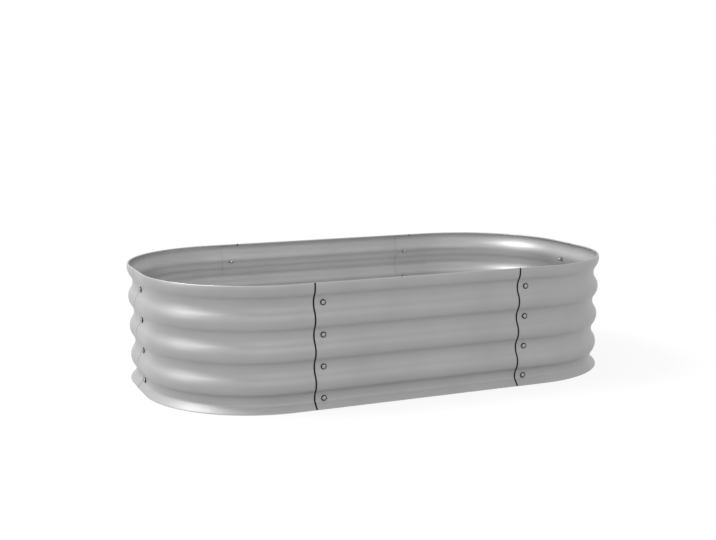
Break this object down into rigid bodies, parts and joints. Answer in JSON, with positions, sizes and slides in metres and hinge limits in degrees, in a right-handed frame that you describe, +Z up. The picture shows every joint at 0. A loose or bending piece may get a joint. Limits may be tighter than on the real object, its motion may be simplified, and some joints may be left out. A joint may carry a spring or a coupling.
{
  "type": "raised garden bed",
  "caption": "Open-bottomed raised garden bed: a long rounded ring of corrugated steel sheets, lapped and bolted in their grooves, with rolled edges at foot and rim.",
  "frame": {"origin": "on the ground, at the middle of the bed's plan", "axes": "+X along the bed's long side, -Y out of the front wall, +Z up"},
  "size_m": [1.2498, 0.7106, 0.3],
  "materials": {
    "panel_steel": "satin light grey coating on corrugated steel sheet",
    "zinc": "bright zinc plate",
    "rubber": "matt black rubber"
  },
  "bodies": {
    "root": {"front_panel": "panel_steel", "back_panel": "panel_steel", "front_left_corner": "panel_steel", "front_right_corner": "panel_steel", "back_right_corner": "panel_steel", "back_left_corner": "panel_steel", "bolts_front_left": "zinc", "rubber_washers_front_left": "rubber", "flat_washers_front_left": "zinc", "nuts_front_left": "zinc", "edge_strip_front_left": "rubber", "bolts_front_right": "zinc", "rubber_washers_front_right": "rubber", "flat_washers_front_right": "zinc", "nuts_front_right": "zinc", "edge_strip_front_right": "rubber", "bolts_right_end": "zinc", "rubber_washers_right_end": "rubber", "flat_washers_right_end": "zinc", "nuts_right_end": "zinc", "edge_strip_right_end": "rubber", "bolts_back_right": "zinc", "rubber_washers_back_right": "rubber", "flat_washers_back_right": "zinc", "nuts_back_right": "zinc", "edge_strip_back_right": "rubber", "bolts_back_left": "zinc", "rubber_washers_back_left": "rubber", "flat_washers_back_left": "zinc", "nuts_back_left": "zinc", "edge_strip_back_left": "rubber", "bolts_left_end": "zinc", "rubber_washers_left_end": "rubber", "flat_washers_left_end": "zinc", "nuts_left_end": "zinc", "edge_strip_left_end": "rubber"}
  },
  "joints": []
}
